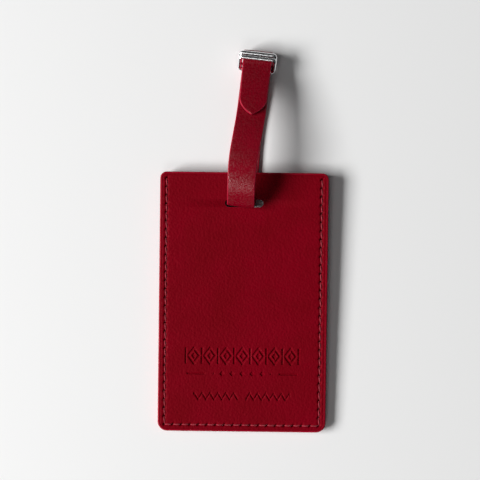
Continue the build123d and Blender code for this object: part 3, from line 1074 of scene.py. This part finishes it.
@dataclass(frozen=True)
class AddressCard:
    """Card in the pocket, with a soft cut edge.

    Attributes:
        form: Sizes of the tag.
        width: Width of the card.
        height: Height of the card.
        corner: Radius of its corners.
        thickness: Thickness of the card.
        bottom: Tag's bottom edge to the card.
        soft: Softening of the cut edge.
        spacing: Point to point along the sides.
    """

    form: TagForm
    width: float = 54.0
    height: float = 85.596
    corner: float = 2.0
    thickness: float = 0.4
    bottom: float = 5.3
    soft: float = 0.06
    spacing: float = 4.0

    def build(self) -> None:
        """Make the card: two faces joined by an edge."""
        points, inward = rounded_outline((-self.width / 2, self.bottom),
                                         (self.width / 2, self.bottom + self.height),
                                         (self.corner, self.corner), self.spacing)
        low = self.form.back + (self.form.pocket - self.thickness) / 2
        high = low + self.thickness
        surface = Surface()
        rows = [(self.soft, low), (0.0, low + self.soft), (0.0, high - self.soft),
                (self.soft, high)]
        surface.slab([at_height(points + inward * offset, z) for offset, z in rows])
        piece = surface.build("ruled_card", self.form.place(), [CardStock().material()])
        settle(piece, "card", "card", "address_card")


STITCH_ROWS = 9        # rings of points along a stitch
STITCH_SIDES = 8       # points round it
PLY_SWING = 0.16       # how far the radius goes either way, as a part of it
PLY_TWIST = 5.5        # turn of that swing from the middle to an end, in radians


def stitch(start: Array, end: Array, out: Array, root: float, crown: float, radius: float,
           slant: float) -> Array:
    """One stitch as a tube of two twisted plies.

    The middle runs from one hole to the next while it rises from the root to the crown by one
    less the cube of the way from the middle, and slants a little to one side. The radius
    swings with twice the angle, and that swing turns as the plies twist.

    Args:
        start: Hole that it rises from.
        end: Hole that it goes into.
        out: Unit vector out of the face.
        root: Height of its ends along out.
        crown: Height of its middle along out.
        radius: Radius of the thread.
        slant: Sideways shift of either end.

    Returns:
        Grid of rows by sides by 3.
    """
    way = -np.cos(np.linspace(0, pi, STITCH_ROWS))
    along = (end - start) / np.linalg.norm(end - start)
    side = np.cross(out, along)
    lift = root + (crown - root) * (1 - np.abs(way) ** 3)
    path = (start + end) / 2 + way[:, None] * (end - start) / 2
    path = path + lift[:, None] * out + (slant * way)[:, None] * side
    angle = np.linspace(0, 2 * pi, STITCH_SIDES, endpoint=False)
    radii = radius * (1 + PLY_SWING * np.cos(2 * angle - PLY_TWIST * way[:, None]))
    radii[[0, -1]] = 0
    normals = np.repeat(side[None], len(way), axis=0)
    binormals = np.repeat(out[None], len(way), axis=0)
    return tube(path, normals, binormals, radii)


@dataclass(frozen=True)
class Seam:
    """The two threads of the tag's seam, each one stitch after another from hole to hole.

    Attributes:
        form: Sizes of the tag.
        thread: Radius of the thread.
        slant: Sideways shift of either end of a stitch.
        front_heights: Height of the ends and of the middle of a stitch on the front.
        back_heights: The same on the back.
    """

    form: TagForm
    thread: float = 0.24
    slant: float = 0.16
    front_heights: tuple[float, float] = (2.9, 3.93)
    back_heights: tuple[float, float] = (1.0, 0.37)

    def holes(self) -> Array:
        """Holes in the order of sewing: down the left, along the bottom and up the right."""
        form = self.form
        down = form.seam_top - np.arange(form.side_stitches + 1) * form.side_pitch
        over = -form.seam_half + np.arange(1, form.foot_stitches) * form.foot_pitch
        left = np.column_stack([np.full(len(down), -form.seam_half), down])
        foot = np.column_stack([over, np.full(len(over), form.seam_low)])
        right = np.column_stack([np.full(len(down), form.seam_half), down[::-1]])
        return np.vstack([left, foot, right])

    def sew(self, name: str, node: str, out: float, heights: tuple[float, float]) -> None:
        """Make one thread.

        Args:
            name: Name of the piece.
            node: CAD node that it stands for.
            out: 1 on the front, -1 on the back.
            heights: Height of the stitches' ends and of their middles.
        """
        holes = at_height(self.holes(), 0.0)
        up = np.array([0.0, 0.0, out])
        surface = Surface()
        for start, end in zip(holes, holes[1:]):
            root, crown = (height * out for height in heights)
            surface.grid(stitch(start, end, up, root, crown, self.thread, self.slant), closed=True)
        piece = surface.build(name, self.form.place(), [made_once(Thread())])
        settle(piece, "tag", "thread", node)

    def build(self) -> None:
        """Make the front thread and the back thread."""
        self.sew("front_thread", "seam_needle_thread", 1.0, self.front_heights)
        self.sew("back_thread", "seam_bobbin_thread", -1.0, self.back_heights)


# ---------------------------------------------------------------------------------------------
# Strap and rings, in the strap's own frame
# ---------------------------------------------------------------------------------------------
@dataclass(frozen=True)
class StrapPath:
    """Middle of the strap in side view, as runs and bends that start at the slot.

    Each stretch is its length and its turn in degrees, anticlockwise positive. A negative way is
    along the front leg to the folded end, a positive way along the rear leg to the tail.

    Attributes:
        slot_z: Height of the slot's middle.
        up_slot: Heading of the strap up through the slot.
        steps: Fine steps along a leg.
        front: Stretches of the front leg.
        rear: Stretches of the rear leg.
    """

    slot_z: float = 4.3794
    up_slot: float = 91.4325
    steps: int = 20000
    front: tuple[tuple[float, float], ...] = (
        (1.8485, 0.0), (4.0 * radians(28.5675), 28.5675), (3.0 * radians(72.0), -72.0),
        (15.5 * radians(44.0), -44.0), (60.0 * radians(22.0), -22.0), (26.3721, 0.0),
        (1.725 * pi, -180.0), (2.0785, 0.0), (1.725 * radians(20.0), -20.0), (4.3712, 0.0),
        (3.0 * radians(20.0), 20.0), (7.0, 0.0))
    rear: tuple[tuple[float, float], ...] = (
        (2.3138, 0.0), (1.35 * radians(88.5675), 88.5675), (58.5926, 0.0),
        (3.1426 * radians(162.0), 162.0), (26.151, 0.0))

    def leg(self, way: Array, rear: bool) -> tuple[Array, Array, Array]:
        """Points of one leg at ways from the slot.

        The heading is a broken line over the way, and the point is the running sum of the
        heading's cosine and sine over fine steps.

        Args:
            way: Ways from the slot, all positive.
            rear: The rear leg and not the front one.

        Returns:
            Along the strap, height, and heading in radians.
        """
        stretches = np.array(self.rear if rear else self.front)
        ends = np.concatenate([[0.0], np.cumsum(stretches[:, 0])])
        start = self.up_slot - 180 if rear else self.up_slot
        headings = np.radians(start + np.concatenate([[0.0], np.cumsum(stretches[:, 1])]))
        fine = np.linspace(0.0, ends[-1], self.steps + 1)
        middle = np.interp((fine[1:] + fine[:-1]) / 2, ends, headings)
        step = fine[1] - fine[0]
        along = np.concatenate([[0.0], np.cumsum(np.cos(middle) * step)])
        height = self.slot_z + np.concatenate([[0.0], np.cumsum(np.sin(middle) * step)])
        heading = np.interp(way, ends, headings)
        return np.interp(way, fine, along), np.interp(way, fine, height), heading

    def reach(self, rear: bool) -> float:
        """Length of one leg."""
        return float(sum(stretch[0] for stretch in (self.rear if rear else self.front)))

    def frames(self, way: Array) -> tuple[Array, Array]:
        """Middle of the strap and its outward normal, on the side away from the loop.

        Args:
            way: Signed ways from the slot.

        Returns:
            Points and unit normals, each n by 3.
        """
        front = self.leg(np.maximum(-way, 0.0), False)
        rear = self.leg(np.maximum(way, 0.0), True)
        on_rear = way > 0
        along, height, heading = (np.where(on_rear, r, f) for f, r in zip(front, rear))
        side = np.where(on_rear, -1.0, 1.0)
        level = np.zeros_like(way)
        points = np.stack([level, along, height], axis=1)
        normals = np.stack([level, -np.sin(heading) * side, np.cos(heading) * side], axis=1)
        return points, normals


Bell = tuple[float, float, float]

LAP_SPAN = 7.5         # finely meshed stretch at the folded end
TIP_SPAN = 8.0         # finely meshed stretch at the tip
WAY_KNOTS = (-68.5, -54.5, -20.0, 6.0, 60.0)     # ways where the mesh's step changes between
WAY_STEPS = (0.2, 0.3, 0.2, 0.7, 0.25, 0.8, 0.35, 0.12)
FACE_COLUMNS = 25      # points across a face of the strap
EDGE_COLUMNS = 9       # points round its edge
EDGE_SHARE = 0.7       # most of the half width that an edge takes, where the strap is narrow
STRAP_SMOOTH_ANGLE = 50.0


def bell(way: Array, curve: Bell) -> Array:
    """Bell curve: its height times e to the minus square of the way from its middle."""
    height, middle, reach = curve
    return height * np.exp(-((way - middle) / reach) ** 2)


@dataclass(frozen=True)
class Strap:
    """The leather strap, one strip with rounded painted edges, a sewn fold and a pointed tail.

    A bell is a curve by its height, the way of its middle from the slot and its half width.

    Attributes:
        path: Middle of the strap in side view.
        width: Width of the strip.
        thickness: Thickness of the strip.
        point: Length of the pointed end.
        fullness: Power that rounds the point's sides.
        tip: Least half width, at the end of the point.
        edge: Width of the painted edge, seen from above.
        shoulder: Power that squares the edge's shoulders.
        crown: How much lower the face is at its sides than in its middle.
        asides: Bells by which the front leg and the rear leg curve to one side.
        roll: Bell of the front leg's twist over its crest, in degrees.
        waist: Bell of the part by which the strip is narrower at the slot.
        taper: Part by which the tail is narrower at its point, where that begins, counted from
            the tip, and over what length.
        lap_rows: Ways of the stitch rows through the lower layer of the sewn lap.
        end_rows: The same rows through the upper layer, from the folded end.
        holes: Places of the holes across the strap.
        dent: Depth of a stitch row, its half width and its run-out past the last hole.
        lap_stitch: Height of a stitch's ends and middle, its radius and its slant.
    """

    path: StrapPath = StrapPath()
    width: float = 12.0
    thickness: float = 1.5
    point: float = 7.2
    fullness: float = 0.8
    tip: float = 0.12
    edge: float = 0.42
    shoulder: float = 0.7
    crown: float = 0.10
    asides: tuple[Bell, Bell] = ((-1.35, -25.0, 15.0), (-0.7, 29.0, 12.0))
    roll: Bell = (7.0, -17.0, 9.0)
    waist: Bell = (0.055, -10.0, 17.0)
    taper: tuple[float, float, float] = (0.055, 26.0, 18.0)
    lap_rows: tuple[float, float] = (-59.124, -56.124)
    end_rows: tuple[float, float] = (5.0, 2.0)
    holes: tuple[float, ...] = (-4.2, -1.4, 1.4, 4.2)
    dent: tuple[float, float, float] = (0.36, 0.36, 0.3)
    lap_stitch: tuple[float, float, float, float] = (0.1, 0.5, 0.19, 0.08)

    def ways(self) -> Array:
        """Ways along the strip, closer together in tight bends and at the tip."""
        front, rear = self.path.reach(False), self.path.reach(True)
        knots = [-front, -front + LAP_SPAN, *WAY_KNOTS, rear - TIP_SPAN, rear]
        parts = [np.linspace(a, b, int((b - a) / step) + 1)[:-1]
                 for a, b, step in zip(knots, knots[1:], WAY_STEPS)]
        return np.concatenate(parts + [[rear]])

    def half_widths(self, way: Array) -> Array:
        """Half of the strip's width at each way.

        The tail's half width is half the strap's times one less the square of what remains of
        the point, to the power 0.8, and the tail narrows a little towards it. A slight waist
        eases the strip through the slot.
        """
        left = self.path.reach(True) - way
        tip = np.clip(left / self.point, 0.0, 1.0)
        half = self.width / 2 * (1 - (1 - tip) ** 2) ** self.fullness
        narrower, start, length = self.taper
        tail = 1 - narrower * smoothstep((start - left) / length)
        return np.maximum(half * (1 - bell(way, self.waist)) * tail, self.tip)

    def section(self, way: Array) -> tuple[list[Array], list[Array]]:
        """Outline of the strip across, as four sides: outer face, edge, inner face, edge.

        A face falls from its middle with the fourth power of the way to its side. An edge is an
        ellipse with squared shoulders: its cosine and sine are taken to the power 0.7.

        Returns:
            Offsets across and offsets outwards, for each side, n by points.
        """
        half = self.half_widths(way)[:, None]
        edge = np.minimum(self.edge, half * EDGE_SHARE)
        flat = half - edge
        spread = np.linspace(-1, 1, FACE_COLUMNS)[None]
        angle = np.radians(np.linspace(90, -90, EDGE_COLUMNS))[None]
        thick = self.thickness / 2
        rounding = np.cos(angle).clip(0) ** self.shoulder
        rise = np.sign(np.sin(angle)) * np.abs(np.sin(angle)) ** self.shoulder
        face = thick - self.crown * spread ** 4
        ups = np.where(rise > 0, rise * (thick - self.crown), rise * thick)
        side = flat + edge * rounding
        across = [flat * spread, side, -flat * spread, -side[:, ::-1]]
        heights = [face, ups, -thick + 0 * spread, ups[:, ::-1]]
        return across, [height + 0 * flat for height in heights]

    def stitch_rows(self) -> list[float]:
        """Ways of the stitch rows on both layers of the sewn lap."""
        front = self.path.reach(False)
        return [*self.lap_rows, *(row - front for row in self.end_rows)]

    def lap_dip(self, way: Array, across: Array) -> Array:
        """Depth of the stitch rows: a bell curve across each row, up to its end holes."""
        depth, reach, run_out = self.dent
        past = np.maximum(np.abs(across) - self.holes[-1], 0.0)
        return sum(depth * np.exp(-((way - row) / reach) ** 2 - (past / run_out) ** 2)
                   for row in self.stitch_rows())

    def place_points(self, way: Array, across: Array, outwards: Array) -> Array:
        """Points of the strip: the path's middle, plus across and outwards turned by the roll.

        The roll is a bell curve over the crest of the front leg. Each leg curves to one side by
        its own bell curve.
        """
        middle, normal = self.path.frames(way)
        roll = np.radians(bell(way, self.roll))[:, None]
        for aside in self.asides:
            middle[:, 0] += bell(way, aside)
        side = np.array([[1.0, 0.0, 0.0]])
        turned = np.cos(roll) * side + np.sin(roll) * normal
        lifted = -np.sin(roll) * side + np.cos(roll) * normal
        aside, out = across[..., None] * turned[:, None], outwards[..., None] * lifted[:, None]
        return middle[:, None] + aside + out

    def build(self) -> None:
        """Make the strip and its stitches."""
        way = self.ways()
        across, outwards = self.section(way)
        outwards[0] = outwards[0] - self.lap_dip(way[:, None], across[0])
        surface = Surface()
        finishes = (Finish.FACE, Finish.EDGE, Finish.FLESH, Finish.EDGE)
        grids = [self.place_points(way, a, o) for a, o in zip(across, outwards)]
        for grid, finish in zip(grids, finishes):
            surface.grid(grid, finish)
        for end in (0, -1):
            loop = np.vstack([grid[end, :-1] for grid in grids])
            surface.fill([distinct(loop)], Finish.EDGE)
        piece = surface.build("strap_leather_strip", strap_place(),
                              hides(Hide.STRAP_GRAIN, Hide.STRAP_EDGE, Hide.STRAP_FLESH),
                              STRAP_SMOOTH_ANGLE)
        settle(piece, "strap", "strap_leather", "strap")
        self.sew()

    def sew(self) -> None:
        """Make the stitches on both faces of the lap."""
        surface = Surface()
        for row in self.stitch_rows():
            middle, normal = self.path.frames(np.array([row]))
            for holes in zip(self.holes, self.holes[1:]):
                start, end = (middle[0] + [hole, 0, 0] for hole in holes)
                surface.grid(stitch(start, end, normal[0], *self.lap_stitch), closed=True)
        piece = surface.build("lap_thread", strap_place(), [made_once(Thread())])
        settle(piece, "strap", "thread", "strap_end_stitches")


@dataclass(frozen=True)
class Ring:
    """Rectangular wire ring that turns about its inner bar.

    Attributes:
        body: Body that it rides on.
        node: CAD node that it stands for.
        bar: Middle of its inner bar, along the strap and up.
        lean: Slope of the ring's plane, in degrees.
        width: Middle to middle of the wire, across the strap.
        length: Middle to middle of its two long bars.
        corner: Radius of the wire's middle in a corner.
        wire: Thickness of the wire.
        sides: Points round the wire.
        spacing: Point to point along its straight bars.
        arc_points: Points in each corner.
    """

    body: str
    node: str
    bar: tuple[float, float]
    lean: float = 44.2818
    width: float = 14.35
    length: float = 6.1
    corner: float = 1.175
    wire: float = 1.75
    sides: int = 24
    spacing: float = 0.5
    arc_points: int = 11

    def build(self) -> None:
        """Carry the wire round its loop, which starts and ends in the inner bar."""
        points, inward = rounded_outline((-self.width / 2, 0.0), (self.width / 2, self.length),
                                         (self.corner, self.corner), self.spacing,
                                         self.arc_points)
        lean = radians(self.lean)
        frame_axes = np.array([[1.0, 0.0, 0.0], [0.0, cos(lean), sin(lean)]])
        upright = np.array([0.0, -sin(lean), cos(lean)])
        path = points @ frame_axes + [0.0, *self.bar]
        normals = -inward @ frame_axes
        binormals = np.repeat(upright[None], len(path), axis=0)
        radii = np.full((len(path), self.sides), self.wire / 2)
        grid = tube(path, normals, binormals, radii)
        surface = Surface()
        surface.grid(np.vstack([grid, grid[:1]]), closed=True)
        piece = surface.build(f"wire_{self.node}", strap_place(), [made_once(Plating())])
        settle(piece, self.body, "ring_metal", self.node)


# ---------------------------------------------------------------------------------------------
# Floor, light and camera
# ---------------------------------------------------------------------------------------------
DAYLIGHT = (1.0, 0.995, 0.985)
ROOM_COLOUR = (0.97, 0.985, 1.0, 1)
TABLE_COLOUR = (0.84, 0.845, 0.85, 1)
TABLE_ROUGHNESS = 0.7
ROOM_FALL = 3.0        # power of the height by which the room's light grows


@dataclass(frozen=True)
class Lamp:
    """Oblong soft light that hangs round the object and is aimed at it.

    Attributes:
        name: Name of the light.
        heading: Direction that it comes from, from +X anticlockwise, in degrees.
        height: Height above the horizon, in degrees.
        distance: Distance to the object, in metres.
        size: Width and height, in metres.
        power: Power, in watts.
    """

    name: str
    heading: float
    height: float
    distance: float
    size: tuple[float, float]
    power: float

    def hang(self) -> None:
        """Add the light to the scene."""
        heading, height = radians(self.heading), radians(self.height)
        away = Vector((cos(heading) * cos(height), sin(heading) * cos(height), sin(height)))
        lamp = bpy.data.lights.new(self.name, "AREA")
        lamp.energy = self.power
        lamp.shape = "RECTANGLE"
        lamp.size, lamp.size_y = self.size
        lamp.color = DAYLIGHT
        holder = bpy.data.objects.new(self.name, lamp)
        holder.location = away * self.distance
        holder.rotation_euler = away.to_track_quat("Z", "Y").to_euler()
        bpy.context.scene.collection.objects.link(holder)


@dataclass(frozen=True)
class Studio:
    """Pale table, a window's soft light from the left, a weaker one from the foot, a camera.

    Attributes:
        table_size: Side of the table, in metres.
        lamps: The soft lights.
        horizon: Strength of the even light from the horizon.
        zenith: Strength that the ceiling adds, straight above.
        camera_height: Camera above the table, in metres.
        view_width: Width of the table in view, in metres.
        view_centre: Point of the table at the middle of the view, in metres.
        view_roll: Turn of the camera about the upright axis, in degrees.
    """

    table_size: float = 3.0
    lamps: tuple[Lamp, ...] = (Lamp("window_light", 189.0, 34.5, 2.5, (1.56, 0.97), 102.0),
                               Lamp("room_light", 250.0, 52.0, 2.5, (0.9, 0.6), 6.5))
    horizon: float = 0.012
    zenith: float = 0.10
    camera_height: float = 0.5
    view_width: float = 0.2016
    view_centre: tuple[float, float] = (-0.0016, 0.0002)
    view_roll: float = 0.73

    def lay_table(self) -> None:
        """Lay the table, a flat square under the object."""
        half = self.table_size / 2
        corners = [(-half, -half, 0), (half, -half, 0), (half, half, 0), (-half, half, 0)]
        mesh = bpy.data.meshes.new("table")
        mesh.from_pydata(corners, [], [(0, 1, 2, 3)])
        table = bpy.data.objects.new("table", mesh)
        bpy.context.scene.collection.objects.link(table)
        material, tree, shader = blank_material("table_top")
        feed(tree, shader, {"Base Color": TABLE_COLOUR, "Roughness": TABLE_ROUGHNESS})
        mesh.materials.append(material)

    def light(self) -> None:
        """Hang the lamps and set the room's light, which grows with the cube of the height."""
        for lamp in self.lamps:
            lamp.hang()
        world = bpy.data.worlds.new("studio")
        world.use_nodes = True
        tree = world.node_tree
        heading = put(tree, "ShaderNodeTexCoord").outputs["Generated"]
        up = put(tree, "ShaderNodeSeparateXYZ", {0: heading}).outputs[2]
        cube = maths(tree, "POWER", maths(tree, "MAXIMUM", up), ROOM_FALL)
        room = put(tree, "ShaderNodeMath", {0: cube, 1: self.zenith, 2: self.horizon},
                   operation="MULTIPLY_ADD")
        feed(tree, tree.nodes["Background"], {"Color": ROOM_COLOUR, "Strength": room.outputs[0]})
        bpy.context.scene.world = world
        bpy.context.scene.view_settings.view_transform = "Standard"

    def aim_camera(self) -> None:
        """Hang the camera straight above the middle of the view."""
        camera = bpy.data.cameras.new("overhead")
        camera.angle = 2 * atan2(self.view_width / 2, self.camera_height)
        holder = bpy.data.objects.new("overhead", camera)
        holder.location = (*self.view_centre, self.camera_height)
        holder.rotation_euler = (0, 0, radians(self.view_roll))
        bpy.context.scene.collection.objects.link(holder)
        bpy.context.scene.camera = holder


def main() -> None:
    """Build the studio and every sub-assembly in order."""
    studio = Studio()
    studio.aim_camera()
    studio.lay_table()
    studio.light()
    form = TagForm()
    FrontPanel(form).build()
    PocketFiller(form).build()
    back = BackPanel(form)
    back.build()
    back.build_film()
    AddressCard(form).build()
    Seam(form).build()
    Strap().build()
    Ring("front_ring", "ring_front", (55.5232, 4.7873)).build()
    Ring("rear_ring", "ring_rear", (57.5, 4.145)).build()


if __name__ == "__main__":
    logging.basicConfig(level=logging.INFO, format="%(name)s: %(message)s")
    main()
